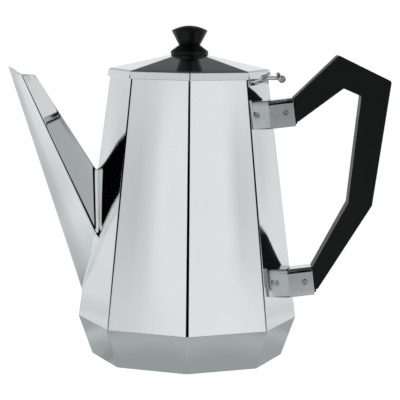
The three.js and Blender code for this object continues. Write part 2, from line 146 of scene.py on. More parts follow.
SHEET = 1 * MM
SLEEVE_HALF_WIDTH = 8 * MM
SLEEVE_HALF_HEIGHT = 8 * MM
SLEEVE_REACH = 12.2 * MM
SLEEVE_TILT = math.atan(BODY_TAPER)
SLEEVE_FOLD_RADIUS = 2.6 * MM
SLEEVE_EDGE = 0.25 * MM
SLEEVE_CORNER = 0.2 * MM
SLEEVE_START = 0.2 * MM              # the sleeve's rear edge stands this far off the fold
SLEEVE_START_SLOPE = 0.33            # how fast that edge falls back beside the fold
WING_LIFT = 0.12 * MM
WING_ROWS = 6
BEND_RADIUS = 0.8 * MM
SLIT_DEPTH = 0.9 * MM                # the slit under a wing's bend
SLIT_EDGE = 0.1 * MM
PIN_REACH = SLEEVE_REACH - 4.9 * MM
RIVET_RADIUS = 1.75 * MM
RIVET_HEIGHT = 0.6 * MM
RIVET_PROFILE = [(0, 0.75), (0.45, 0.8), (0.62, 1), (0.9, 0.85), (1, 0)]     # shares of radius and height
RIVET_ROUNDING = [0, 0.3 * MM, 0.3 * MM, 0.3 * MM, 0, 0]
RIVET_ROOT = 0.2 * MM                # how far a head reaches into what it sits on
PIN_HEAD_HEIGHT = 0.36 * MM
BRACKETS = {
    "upper": {"height": 140.15 * MM, "wing_end": 35.2 * MM, "rivet": 32 * MM, "shear": 0.12,
              "grip_top": 7.6 * MM, "grip_bottom": -6.6 * MM},
    "lower": {"height": 43.2 * MM, "wing_end": 41.2 * MM, "rivet": 34.6 * MM, "shear": 0.23,
              "grip_top": 7.6 * MM, "grip_bottom": -7.5 * MM},
}

HANDLE_OUTSIDE = [(84.7, 174.1), (115, 159.6), (105.3, 88.5)]    # peak, shoulder, elbow, in mm
HANDLE_INSIDE = [(91.4, 89.6), (97.8, 151), (87.7, 155.3)]       # elbow, shoulder, peak, in mm
HANDLE_ROUNDING = [r * MM for r in (1.3, 1.7, 1.7, 2.5, 1.3, 1.3, 1.5, 1.0, 1.0, 1.3)]
HANDLE_EDGE = 0.8 * MM
HANDLE_FIT = 0.1 * MM                # between a sleeve's end and the handle's shoulder
TANG_FIT = 0.15 * MM                 # between the handle's tangs and their sleeves
TANG_START = 1 * MM
TANG_OVERLAP = 1 * MM
TANG_CORNER = 0.6 * MM
TANG_EDGE = 0.4 * MM


# ---------------------------------------------------------------- meshes

def make_object(name, points, faces, sharp_degrees=40):
    """A closed mesh object with its faces pointing out, smooth except at sharp edges."""
    mesh = bpy.data.meshes.new(name)
    mesh.from_pydata([tuple(p) for p in points], [], faces)
    shape = bmesh.new()
    shape.from_mesh(mesh)
    bmesh.ops.remove_doubles(shape, verts=shape.verts, dist=1e-7)
    bmesh.ops.dissolve_degenerate(shape, edges=shape.edges, dist=1e-7)
    bmesh.ops.recalc_face_normals(shape, faces=shape.faces)
    shape.to_mesh(mesh)
    shape.free()
    mesh.shade_smooth()
    mesh.set_sharp_from_angle(angle=math.radians(sharp_degrees))
    obj = bpy.data.objects.new(name, mesh)
    bpy.context.scene.collection.objects.link(obj)
    return obj


def loft(rows, closed_round=True, joined_ends=False):
    """Points and faces of a skin over rows of points. Open ends are capped unless they are joined."""
    count = len(rows[0])
    points = [p for row in rows for p in row]
    faces = []
    for r in range(len(rows) if joined_ends else len(rows) - 1):
        low, high = r * count, (r + 1) % len(rows) * count
        for i in range(count if closed_round else count - 1):
            j = (i + 1) % count
            faces.append((low + i, low + j, high + j, high + i))
    if not joined_ends:
        faces.append(tuple(range(count)))
        faces.append(tuple((len(rows) - 1) * count + i for i in range(count)))
    return points, faces


def rounded(corners, radii, steps=5, closed=True):
    """A polyline in the plane with an arc of the given radius at each corner."""
    path = []
    last = len(corners) - 1
    for i, corner in enumerate(corners):
        radius = radii[i]
        if radius <= 0 or (not closed and i in (0, last)):
            path.append(Vector(corner))
            continue
        here = Vector(corner)
        before = Vector(corners[i - 1]) - here
        after = Vector(corners[(i + 1) % len(corners)]) - here
        half = before.angle(after) / 2
        reach = min(radius / math.tan(half), 0.48 * before.length, 0.48 * after.length)
        radius = reach * math.tan(half)
        start = before.normalized() * reach
        end = after.normalized() * reach
        centre = (before.normalized() + after.normalized()).normalized() * (radius / math.sin(half))
        swing = math.pi - 2 * half
        for step in range(steps + 1):
            share = step / steps
            a = math.sin(swing * (1 - share)) / math.sin(swing)
            b = math.sin(swing * share) / math.sin(swing)
            path.append(here + centre + (start - centre) * a + (end - centre) * b)
    return path


def outward(path):
    """Unit normals of a closed plane path, stretched at corners, pointing out of it."""
    area = sum(p.x * q.y - q.x * p.y for p, q in zip(path, path[1:] + path[:1]))
    turn = 1 if area > 0 else -1
    normals = []
    for i, p in enumerate(path):
        a = (p - path[i - 1]).normalized()
        b = (path[(i + 1) % len(path)] - p).normalized()
        n = Vector((a.y + b.y, -a.x - b.x)).normalized() * turn
        side = Vector((b.y, -b.x)) * turn
        normals.append(n / max(n.dot(side), 0.5))
    return normals


def slab(outline, low, high, edge, place, steps=3):
    """An outline given a thickness, with rounded edges. `place` turns (a, b, depth) into a point."""
    normals = outward(outline)
    rings = []
    for step in range(steps + 1):
        angle = math.pi / 2 * step / steps
        rings.append((edge * (1 - math.sin(angle)), low + edge * (1 - math.cos(angle))))
    rings += [(inset, low + high - depth) for inset, depth in reversed(rings)]
    rows = [[place(p.x - n.x * inset, p.y - n.y * inset, depth) for p, n in zip(outline, normals)]
            for inset, depth in rings]
    return loft(rows)


def across(x, z, y):
    """A point of a slab that lies in the plane of symmetry, with its depth along Y."""
    return Vector((x, y, z))


def turned(profile, segments=72, closed=False):
    """Points and faces of a profile of (radius, height) turned about Z."""
    rows = []
    for radius, height in profile:
        rows.append([Vector((radius * math.cos(a), radius * math.sin(a), height))
                     for a in (2 * math.pi * i / segments for i in range(segments))])
    points, faces = loft(rows, joined_ends=closed)
    if not closed:
        ends = [profile[0][0], profile[-1][0]]
        faces = faces[:-2] + [f for f, radius in zip(faces[-2:], ends) if radius > 0]
    return points, faces


def placed(points, matrix):
    return [matrix @ p for p in points]


def weigh_normals(obj):
    """Keeps flat panels flat right up to their rounded folds."""
    weighted = obj.modifiers.new("flat_panels", "WEIGHTED_NORMAL")
    weighted.keep_sharp = True
    weighted.weight = 90


def cut(obj, tool):
    """Cuts the tool's shape out of the object and removes the tool."""
    boolean = obj.modifiers.new("cut", "BOOLEAN")
    boolean.operation = "DIFFERENCE"
    boolean.solver = "EXACT"
    boolean.object = tool
    graph = bpy.context.evaluated_depsgraph_get()
    mesh = bpy.data.meshes.new_from_object(obj.evaluated_get(graph))
    obj.modifiers.clear()
    obj.data = mesh
    bpy.data.objects.remove(tool)


def finish_piece(obj, material, body, slot, *nodes):
    """Gives a piece its material and its body, and hides the CAD nodes that it replaces. The slot argument is
    not used.
    """
    obj.data.materials.clear()
    obj.data.materials.append(material)
    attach(obj, body)
    if nodes:
        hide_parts(*nodes)
    return obj


# ---------------------------------------------------------------- material helpers

def new_material(name):
    material = bpy.data.materials.new(name)
    material.use_nodes = True
    return material, material.node_tree, material.node_tree.nodes["Principled BSDF"]


def noise(tree, scale, detail=2.0, stretch=(1, 1, 1)):
    """Noise in the object's own space, stretched along an axis where it should run in lines."""
    where = tree.nodes.new("ShaderNodeTexCoord")
    mapping = tree.nodes.new("ShaderNodeMapping")
    mapping.inputs["Scale"].default_value = stretch
    texture = tree.nodes.new("ShaderNodeTexNoise")
    texture.inputs["Scale"].default_value = scale
    texture.inputs["Detail"].default_value = detail
    tree.links.new(where.outputs["Object"], mapping.inputs["Vector"])
    tree.links.new(mapping.outputs["Vector"], texture.inputs["Vector"])
    return texture.outputs["Fac"]


NOISE_LOW, NOISE_HIGH = 0.3, 0.7     # noise mostly stays between these


def remap(tree, value, low, high):
    """Spreads a noise value over the range from low to high."""
    node = tree.nodes.new("ShaderNodeMapRange")
    node.inputs["From Min"].default_value = NOISE_LOW
    node.inputs["From Max"].default_value = NOISE_HIGH
    node.inputs["To Min"].default_value = low
    node.inputs["To Max"].default_value = high
    tree.links.new(value, node.inputs["Value"])
    return node.outputs["Result"]


def two_colours(tree, value, first, second):
    """Fades from the first colour to the second as the value goes from 0 to 1."""
    node = tree.nodes.new("ShaderNodeMix")
    node.data_type = "RGBA"
    node.inputs[6].default_value = (*first, 1)
    node.inputs[7].default_value = (*second, 1)
    tree.links.new(value, node.inputs[0])
    return node.outputs[2]


def bump(tree, height, distance, strength, under=None):
    """Relief of that depth, laid over another bump where one is given."""
    node = tree.nodes.new("ShaderNodeBump")
    node.inputs["Distance"].default_value = distance
    node.inputs["Strength"].default_value = strength
    tree.links.new(height, node.inputs["Height"])
    if under is not None:
        tree.links.new(under, node.inputs["Normal"])
    return node.outputs["Normal"]


def ramp(tree, value, stops):
    """A smooth curve through (position, brightness) stops."""
    node = tree.nodes.new("ShaderNodeValToRGB")
    node.color_ramp.interpolation = "EASE"
    elements = node.color_ramp.elements
    elements.remove(elements[-1])
    for i, (position, brightness) in enumerate(stops):
        element = elements[0] if i == 0 else elements.new(position)
        element.position = position
        element.color = (brightness,) * 3 + (1,)
    tree.links.new(value, node.inputs["Fac"])
    return node.outputs["Color"]


def feed(tree, socket, value):
    """Sets a socket to a number, or links it to another node's output."""
    if isinstance(value, (int, float)):
        socket.default_value = value
    else:
        tree.links.new(value, socket)


def math_node(tree, operation, *values):
    node = tree.nodes.new("ShaderNodeMath")
    node.operation = operation
    for socket, value in zip(node.inputs, values):
        feed(tree, socket, value)
    return node.outputs["Value"]


def mix(tree, share, first, second):
    """Fades from the first value to the second as the share goes from 0 to 1."""
    node = tree.nodes.new("ShaderNodeMix")
    node.data_type = "FLOAT"
    for socket, value in zip(node.inputs[:1] + node.inputs[2:4], (share, first, second)):
        feed(tree, socket, value)
    return node.outputs[0]


def degrees(stops, whole, start=0):
    """Stops given in degrees, turned into positions from 0 to 1 along a span that starts there."""
    return [((angle - start) / whole, brightness) for angle, brightness in stops]


# ---------------------------------------------------------------- materials

def mirror_steel():
    """Buffed sheet: nearly a mirror, with slow waves in it and the finest polishing haze."""
    material, tree, shader = new_material("mirror_steel")
    shader.inputs["Metallic"].default_value = 1.0
    tint = two_colours(tree, noise(tree, 30), (0.735, 0.765, 0.773), (0.765, 0.794, 0.802))
    tree.links.new(tint, shader.inputs["Base Color"])
    haze = remap(tree, noise(tree, 90, 4), 0.035, 0.075)
    tree.links.new(haze, shader.inputs["Roughness"])
    waves = bump(tree, noise(tree, 22, 1), 0.05 * MM, 0.6)
    lines = bump(tree, noise(tree, 900, 3, (1, 1, 0.06)), 0.002 * MM, 0.15, waves)
    tree.links.new(lines, shader.inputs["Normal"])
    return material


def satin_steel(name, low=0.2, high=0.32, tone=1.0):
    """Fittings with a fine satin finish: short brushed lines and a soft sheen."""
    material, tree, shader = new_material(name)
    shader.inputs["Metallic"].default_value = 1.0
    dark = tuple(c * tone for c in (0.47, 0.485, 0.49))
    light = tuple(c * tone for c in (0.53, 0.545, 0.55))
    tree.links.new(two_colours(tree, noise(tree, 120, 3), dark, light), shader.inputs["Base Color"])
    brushed = noise(tree, 1500, 3, (0.08, 0.08, 1))
    tree.links.new(remap(tree, brushed, low, high), shader.inputs["Roughness"])
    tree.links.new(bump(tree, brushed, 0.01 * MM, 0.35), shader.inputs["Normal"])
    return material


def polished_steel():
    """Small pressed fittings, polished after bending: a mirror with a little haze and soft dents."""
    material, tree, shader = new_material("polished_steel")
    shader.inputs["Metallic"].default_value = 1.0
    tint = two_colours(tree, noise(tree, 80), (0.635, 0.66, 0.67), (0.685, 0.71, 0.72))
    tree.links.new(tint, shader.inputs["Base Color"])
    tree.links.new(remap(tree, noise(tree, 300, 4), 0.09, 0.14), shader.inputs["Roughness"])
    dents = bump(tree, noise(tree, 90, 2), 0.05 * MM, 0.7)
    tree.links.new(bump(tree, noise(tree, 1800, 2), 0.002 * MM, 0.2, dents), shader.inputs["Normal"])
    return material


def black_plastic(name, rough_low, rough_high, grain):
    """Heat-resistant black plastic: deep black with a fine moulded grain and faint handling marks."""
    material, tree, shader = new_material(name)
    tree.links.new(two_colours(tree, noise(tree, 60, 3), (0.0028, 0.0037, 0.004), (0.0045, 0.0056, 0.006)),
                   shader.inputs["Base Color"])
    tree.links.new(remap(tree, noise(tree, 45, 5), rough_low, rough_high), shader.inputs["Roughness"])
    shader.inputs["Specular IOR Level"].default_value = 0.26
    soft = bump(tree, noise(tree, 70, 2), 0.06 * MM, 0.3)
    tree.links.new(bump(tree, noise(tree, 2600, 2), grain, 0.5, soft), shader.inputs["Normal"])
    return material


MIRROR = mirror_steel()
SATIN = satin_steel("satin_steel")
POLISHED = polished_steel()
PLAIN = satin_steel("washer_steel", 0.3, 0.42, 0.9)
HANDLE_BLACK = black_plastic("handle_plastic", 0.38, 0.5, 0.02 * MM)
KNOB_BLACK = black_plastic("knob_plastic", 0.3, 0.4, 0.01 * MM)


# ---------------------------------------------------------------- faceted shells

def octagon_row(flat, height, corner, bow=0.0):
    """One level of an eight-sided form: rounded folds, and panels bowed out in the middle."""
    row = []
    centre = (flat - corner) / math.cos(HALF_SIDE)
    half_panel = centre * math.sin(HALF_SIDE)
    for k in range(SIDES):
        fold = 2 * HALF_SIDE * k
        middle = Vector((math.cos(fold), math.sin(fold), 0)) * centre
        for i in range(ARC_STEPS + 1):
            angle = fold - HALF_SIDE + 2 * HALF_SIDE * i / ARC_STEPS
            row.append(middle + Vector((math.cos(angle), math.sin(angle), 0)) * corner)
        out = Vector((math.cos(fold + HALF_SIDE), math.sin(fold + HALF_SIDE), 0))
        along = Vector((-out.y, out.x, 0))
        for i in range(1, PANEL_STEPS):
            aside = 2 * i / PANEL_STEPS - 1
            row.append(out * (flat + bow * (1 - aside * aside) ** 2) + along * (half_panel * aside))
    for p in row:
        p.z = height
    return row


def flat_of(fold_radius):
    return fold_radius * math.cos(HALF_SIDE)


def body_flat(height):
    """Distance from the axis to the middle of a panel above the widest ring."""
    return flat_of(WIDE_RADIUS - BODY_TAPER * (height - WIDE_HEIGHT))


def split(path, longest):
    """Adds evenly spaced points where a closed path's steps are longer than that."""
    dense = []
    for p, q in zip(path, path[1:] + path[:1]):
        count = max(1, math.ceil((q - p).length / longest))
        dense += [p.lerp(q, i / count) for i in range(count)]
    return dense


def make_body():
    """The folded shell: its wall's profile taken round the eight sides, then notched and punched."""
    corners = [
        (flat_of(BASE_RADIUS), 0), (flat_of(WIDE_RADIUS), WIDE_HEIGHT), (body_flat(BODY_HEIGHT), BODY_HEIGHT),
        (body_flat(BODY_HEIGHT) - WALL, BODY_HEIGHT), (flat_of(WIDE_RADIUS) - WALL, WIDE_HEIGHT),
        (flat_of(BASE_RADIUS) - WALL, 0),
    ]
    path = split(rounded(corners, BODY_ROUNDING), BODY_ROW_LENGTH)
    rows = []
    for p in path:
        corner = fold_radius(p.y) - (0 if is_outer(p) else WALL)
        rows.append(octagon_row(p.x, p.y, corner, panel_bow(p.y)))
    body = make_object("body", *loft(rows, joined_ends=True))
    cut(body, rim_notch_tool())
    for tool in strainer_tools():
        cut(body, tool)
    weigh_normals(body)
    return finish_piece(body, MIRROR, "pot", "mirror_steel", "body_shell")


def is_outer(p):
    """Whether a point of the wall's profile is on the outer half of the wall."""
    if p.y < WIDE_HEIGHT:
        share = p.y / WIDE_HEIGHT
        flat = flat_of(BASE_RADIUS) * (1 - share) + flat_of(WIDE_RADIUS) * share
    else:
        flat = body_flat(p.y)
    return p.x > flat - WALL / 2


def fold_radius(height):
    """The body's folds are tighter at the rim than low down."""
    return FOLD_RADIUS_BOTTOM + (FOLD_RADIUS_TOP - FOLD_RADIUS_BOTTOM) * height / BODY_HEIGHT


def panel_bow(height):
    """How far a panel stands out in the middle: nothing at its ends."""
    if height < WIDE_HEIGHT:
        share = height / WIDE_HEIGHT
        return SKIRT_BOW_SHARE * PANEL_BOW * math.sin(math.pi * share)
    share = (height - WIDE_HEIGHT) / (BODY_HEIGHT - WIDE_HEIGHT)
    return PANEL_BOW * math.sin(math.pi * share)


def box_tool(low, high):
    """A block between two opposite corners."""
    corners = [Vector((x, y, z)) for z in (low.z, high.z)
               for x, y in ((low.x, low.y), (high.x, low.y), (high.x, high.y), (low.x, high.y))]
    return make_object("tool", *loft([corners[:4], corners[4:]]))


def rim_notch_tool():
    """A block that cuts the hinge's notch in the rim."""
    half = KNUCKLE_SPLIT + GAP
    floor = STRAP_BOTTOM - GAP
    return box_tool(Vector((BODY_NOTCH_START, -half, floor)),
                    Vector((WIDE_RADIUS, half, BODY_HEIGHT + 5 * MM)))


def strainer_tools():
    """Rods that punch the holes behind the spout."""
    tools = []
    for height, spacing in STRAINER_HOLES:
        for side in (-1, 1):
            rod = [(STRAINER_HOLE_RADIUS, 0), (STRAINER_HOLE_RADIUS, STRAINER_TOOL_LENGTH)]
            points, faces = turned(rod, 20)
            start = Matrix.Translation((-STRAINER_TOOL_START, side * spacing * MM, height * MM))
            lie = start @ Matrix.Rotation(-math.pi / 2, 4, "Y")
            tools.append(make_object("tool", placed(points, lie), faces))
    return tools


def make_base_plate():
    """The plate between the walls, drawn as levels from the middle of its underside to that of its top."""
    top = BASE_HIGH.z
    lower = flat_of(BASE_RADIUS) - WALL - BASE_FIT
    middle = lower / 5
    widening = (flat_of(WIDE_RADIUS) - flat_of(BASE_RADIUS)) / WIDE_HEIGHT
    levels = [(middle, 0), (lower - BASE_EDGE, 0), (lower, BASE_EDGE), (lower + widening * top, top),
              (middle, top)]
    rows = [octagon_row(flat, height, BASE_FOLD_RADIUS) for flat, height in levels]
    plate = make_object("base", *loft(rows))
    weigh_normals(plate)
    return finish_piece(plate, MIRROR, "pot", "mirror_steel", "base_plate")


def make_lid():
    """The shallow pyramid with its skirt, a hole for the knob's screw and a notch for the hinge."""
    skirt = flat_of(LID_HIGH.x)
    shoulder = flat_of(LID_SHOULDER_RADIUS)
    top = LID_HIGH.z
    inner = LID_SHOULDER_HEIGHT - WALL
    corners = [
        (skirt, LID_LOW.z), (shoulder, LID_SHOULDER_HEIGHT), (flat_of(LID_TOP_RADIUS), top),
        (LID_HOLE_RADIUS, top), (LID_HOLE_RADIUS, top - WALL), (flat_of(LID_TOP_RADIUS), top - WALL),
        (shoulder - WALL, inner), (skirt - WALL, LID_LOW.z),
    ]
    path = split(rounded(corners, LID_ROUNDING, 6), LID_ROW_LENGTH)
    rows = [octagon_row(p.x, p.y, min(LID_FOLD_RADIUS, LID_FOLD_SHARE * p.x)) for p in path]
    lid = make_object("lid", *loft(rows, joined_ends=True))
    half = KNUCKLE_SPLIT + GAP
    cut(lid, box_tool(Vector((LID_NOTCH_START, -half, LID_LOW.z - 2 * MM)),
                      Vector((WIDE_RADIUS, half, STRAP_BOTTOM + LEAF_THICKNESS + GAP))))
    weigh_normals(lid)
    return finish_piece(lid, MIRROR, "lid", "mirror_steel", "lid_shell")


# ---------------------------------------------------------------- spout

def facet_plane(side, offset):
    """Point and outward normal of the body panel beside the spout's fold, moved out by an offset."""
    angle = math.pi + side * HALF_SIDE
    normal = Vector((math.cos(angle), math.sin(angle), BODY_TAPER * math.cos(HALF_SIDE))).normalized()
    point = Vector((math.cos(angle), math.sin(angle), 0)) * body_flat(WIDE_HEIGHT)
    point.z = WIDE_HEIGHT
    return point + normal * offset, normal


def mouth_height(x):
    """Height of the mouth's edge: level behind the side folds, sweeping up to the lip before them."""
    fold_x = SPOUT_APEX.x + SPOUT_SIDE_RUN * (SPOUT_APEX.z - SPOUT_MOUTH_HEIGHT)
    lip_x = SPOUT_APEX.x + SPOUT_FRONT_RUN * (SPOUT_APEX.z - SPOUT_LIP_HEIGHT)
    share = min(max((x - fold_x) / (lip_x - fold_x), 0), 1)
    return SPOUT_MOUTH_HEIGHT + (SPOUT_LIP_HEIGHT - SPOUT_MOUTH_HEIGHT) * share * share * (3 - 2 * share)


def spout_section(drop, inset, shares):
    """The spout's four-sided section at a drop below the apex: moved in, folds rounded, panels hollow."""
    front, fold, back = SPOUT_FRONT_RUN * drop, SPOUT_SIDE_RUN * drop, SPOUT_BACK_RUN * drop
    half = SPOUT_SIDE_SPREAD * drop
    front_angle = math.atan2(half, fold - front)
    back_angle = math.atan2(half, back - fold)
    side = half - inset / math.cos((front_angle + back_angle) / 2)
    corners = [(front + inset / math.sin(front_angle), 0), (fold, side),
               (back - inset / math.sin(back_angle), 0), (fold, -side)]
    path = rounded(corners, [share * drop for share in shares], SPOUT_ARC_STEPS)
    row = []
    for i, p in enumerate(path):
        after = path[(i + 1) % len(path)]
        row.append(p)
        panel, step = divmod(i, SPOUT_ARC_STEPS + 1)
        if step == SPOUT_ARC_STEPS:
            hollow = Vector((after.y - p.y, p.x - after.x)).normalized()
            hollow *= 4 * drop * (SPOUT_FRONT_BOW if panel in (0, 3) else SPOUT_BACK_BOW)
            for piece in range(1, SPOUT_SIDE_STEPS):
                share = piece / SPOUT_SIDE_STEPS
                row.append(p.lerp(after, share) + hollow * share * (1 - share))
    return row


def spout_lines(inset, shares):
    """The straight lines that make the spout's skin, each as a point and its run per metre of drop.

    Each line goes through the same point of two sections, one near the apex and one far from it.
    """
    near, far = 60 * MM, 160 * MM
    top = spout_section(near, inset, shares)
    bottom = spout_section(far, inset, shares)
    lines = []
    for a, b in zip(top, bottom):
        start = Vector((SPOUT_APEX.x + a.x, a.y, SPOUT_APEX.z - near))
        end = Vector((SPOUT_APEX.x + b.x, b.y, SPOUT_APEX.z - far))
        lines.append((start, (end - start) / (far - near)))
    return lines


def mouth_end(line):
    """Where a skin line leaves the mouth, found by halving the stretch that it must be in."""
    start, run = line
    low, high = -80 * MM, 60 * MM
    for _ in range(40):
        middle = (low + high) / 2
        p = start + run * middle
        if p.z > mouth_height(p.x):
            low = middle
        else:
            high = middle
    return start + run * high


def root_end(line, offset=-WALL / 2):
    """Where a skin line meets the body's wall, and the wall's normal there."""
    start, run = line
    reaches = []
    for side in (-1, 1):
        point, normal = facet_plane(side, offset)
        reaches.append(((point - start).dot(normal) / run.dot(normal), side, normal))
    reach, _, normal = max(reaches)
    return start + run * reach, normal


def make_spout():
    """The tapering tube, from the root up its outside to the lip and down its inside again."""
    outer = spout_lines(0, SPOUT_FOLDS)
    inner = spout_lines(WALL, SPOUT_INNER_FOLDS)
    rows = []
    for lines, levels in ((outer, range(SPOUT_LEVELS + 1)), (inner, range(SPOUT_LEVELS, -1, -1))):
        ends = [(mouth_end(line), root_end(line)[0]) for line in lines]
        for level in levels:
            rows.append([top.lerp(bottom, level / SPOUT_LEVELS) for top, bottom in ends])
    lip = [(a + b) / 2 + Vector((0, 0, SPOUT_LIP_ROLL)) for a, b in zip(rows[0], rows[-1])]
    rows.append(lip)
    spout = make_object("spout_tube", *loft(rows, joined_ends=True), sharp_degrees=50)
    weigh_normals(spout)
    return finish_piece(spout, MIRROR, "pot", "mirror_steel", "spout")


def make_spout_fillet():
    """The soft bead where the spout is joined to the body."""
    lines = spout_lines(0, SPOUT_FOLDS)
    roots = [root_end(line, 0) for line in lines]
    side_height = max(roots, key=lambda found: found[0].y)[0].z
    rows = [[] for _ in range(FILLET_STEPS + 2)]
    for i, (root, normal) in enumerate(roots):
        along = roots[(i + 1) % len(roots)][0] - roots[i - 1][0]
        run = lines[i][1].normalized()
        size = FILLET_SIZE * min(max((root.z - side_height) / FILLET_TAIL + 1, FILLET_LEAST), 1)
        if abs(root.y) < CROTCH_HALF_WIDTH:
            normal = Vector((-1, 0, BODY_TAPER)).normalized()
            away = Vector((0, 0, 0))
        else:
            sideways = along.cross(run)
            away = (sideways - normal * sideways.dot(normal)).normalized()
        up_spout, on_body = -run * size, away * size
        for step in range(FILLET_STEPS + 1):
            share = step / FILLET_STEPS
            curve = up_spout * (1 - share) ** 2 + on_body * share ** 2
            rows[step].append(root + curve + normal * FILLET_LIFT)
        rows[-1].append(root - normal * WALL / 2)
    bead = make_object("spout_bead", *loft(rows, joined_ends=True), sharp_degrees=60)
    finish_piece(bead, MIRROR, "pot", "mirror_steel")


# ---------------------------------------------------------------- knob

def make_knob_foot():
    """The flared foot, bored for the screw."""
    bore, seam = KNOB_BORE_RADIUS, FOOT_HIGH.z
    foot_radius, bottom = FOOT_HIGH.x, FOOT_LOW.z - KNOB_BEDDING
    profile = rounded([(bore, bottom), (foot_radius, bottom), (foot_radius, bottom + KNOB_FLANGE),
                       (KNOB_WAIST_RADIUS, seam), (bore, seam)],
                      KNOB_FOOT_ROUNDING, 6)
    foot = make_object("knob_foot", *turned([tuple(p) for p in profile], closed=True))
    finish_piece(foot, KNOB_BLACK, "lid", "black_plastic", "knob_base")


def make_knob_cap():
    """The cone that stands on the foot: bored from below, with a rolled rim and a shallow dome on top."""
    rim_radius = CAP_HIGH.x
    dome_rise = CAP_HIGH.z - KNOB_RIM_HEIGHT
    dome_start = rim_radius * KNOB_DOME_SHARE
    bore, bottom = KNOB_BORE_RADIUS, FOOT_HIGH.z + KNOB_SEAM
    slope_end = (rim_radius * KNOB_DOME_SLOPE[0], KNOB_RIM_HEIGHT + dome_rise * KNOB_DOME_SLOPE[1])
    side = rounded([(bore, KNOB_BORE_TOP), (bore, bottom), (KNOB_WAIST_RADIUS, bottom),
                    (rim_radius, KNOB_RIM_HEIGHT), slope_end, (0, CAP_HIGH.z)],
                   KNOB_CAP_ROUNDING, 8, closed=False)
    outline = [tuple(p) for p in side if p.y < KNOB_RIM_HEIGHT + KNOB_RIM_ROLL or p.x > dome_start]
    for step in range(1, KNOB_DOME_STEPS + 1):
        radius = dome_start * (1 - step / KNOB_DOME_STEPS)
        outline.append((radius, CAP_HIGH.z - dome_rise * (radius / rim_radius) ** 2))
    cap = make_object("knob_top", *turned([(0, KNOB_BORE_TOP)] + outline))
    finish_piece(cap, KNOB_BLACK, "lid", "black_plastic", "knob_cap")


# ---------------------------------------------------------------- handle

def sleeve_point(bracket, reach, rise):
    """A point of the plane of symmetry, beside a bracket's sleeve."""
    fold = WIDE_RADIUS - BODY_TAPER * (bracket["height"] - WIDE_HEIGHT)
    return (fold + reach * math.cos(SLEEVE_TILT) - rise * math.sin(SLEEVE_TILT),
            bracket["height"] + reach * math.sin(SLEEVE_TILT) + rise * math.cos(SLEEVE_TILT))


def make_grip():
    """The bent bar between the two sleeves."""
    upper, lower = BRACKETS["upper"], BRACKETS["lower"]
    start = SLEEVE_REACH + HANDLE_FIT
    corners = [sleeve_point(upper, start, upper["grip_top"])] + [(x * MM, z * MM) for x, z in HANDLE_OUTSIDE]
    corners += [sleeve_point(lower, start, lower[end]) for end in ("grip_bottom", "grip_top")]
    corners += [(x * MM, z * MM) for x, z in HANDLE_INSIDE]
    corners.append(sleeve_point(upper, start, upper["grip_bottom"]))
    outline = rounded(corners, HANDLE_ROUNDING, 6)
    thick = GRIP_HIGH.y
    grip = make_object("handle_bow", *slab(outline, -thick, thick, HANDLE_EDGE, across, 4))
    weigh_normals(grip)
    finish_piece(grip, HANDLE_BLACK, "pot", "black_plastic", "handle_grip")


def make_tang(level, bracket):
    """The handle's end inside a sleeve, reaching a little way into the bar."""
    rise = SLEEVE_HALF_HEIGHT - SHEET - TANG_FIT
    end = SLEEVE_REACH + HANDLE_FIT + TANG_OVERLAP
    corners = ((TANG_START, -rise), (end, -rise), (end, rise), (TANG_START, rise))
    outline = rounded([sleeve_point(bracket, *corner) for corner in corners], [TANG_CORNER] * 4, 3)
    half_width = SLEEVE_HALF_WIDTH - SHEET - TANG_FIT
    tang = make_object(f"{level}_tang", *slab(outline, -half_width, half_width, TANG_EDGE, across))
    finish_piece(tang, HANDLE_BLACK, "pot", "black_plastic")


# ---------------------------------------------------------------- brackets and rivets

def bracket_frame(bracket):
    """Turns (reach out, across, rise) beside a bracket into a point of the pot."""
    fold, height = sleeve_point(bracket, 0, 0)
    reach = Vector((math.cos(SLEEVE_TILT), 0, math.sin(SLEEVE_TILT)))
    rise = Vector((-math.sin(SLEEVE_TILT), 0, math.cos(SLEEVE_TILT)))

    def place(u, y, v):
        return Vector((fold, 0, height)) + reach * u + Vector((0, y, 0)) + rise * v

    return place


def wing_directions(side):
    """In the plan of a bracket: along its wing away from the fold, and out of the panel."""
    up = Vector((-BODY_TAPER, 0, 1)).normalized()
    level = Vector((-math.sin(HALF_SIDE), side * math.cos(HALF_SIDE), 0))
    away = (level - up * level.dot(up)).normalized()
    reach = Vector((math.cos(SLEEVE_TILT), 0, math.sin(SLEEVE_TILT)))
    along = Vector((away.dot(reach), away.y))
    out = Vector((abs(along.y), -along.x * side))
    return along, out


def wing_face(bracket, side, depth, radius):
    """One face of a wing in plan: along the sleeve's side, round the bend and along the panel."""
    along, out = wing_directions(side)
    start = SLEEVE_START - SLEEVE_START_SLOPE * SLEEVE_HALF_WIDTH
    wall_y = side * (SLEEVE_HALF_WIDTH - SHEET + depth)
    foot = out * (WING_LIFT + depth)
    corner = foot + along * ((wall_y - foot.y) / along.y)
    end = foot + along * bracket["wing_end"]
    path = rounded([(start, wall_y), tuple(corner), tuple(end)], [0, radius, 0], 8, closed=False)
    path.insert(1, path[1] + (path[0] - path[1]).normalized() * SLIT_EDGE)
    path.insert(-1, path[-2] + (path[-1] - path[-2]).normalized() * SLIT_EDGE)
    return path


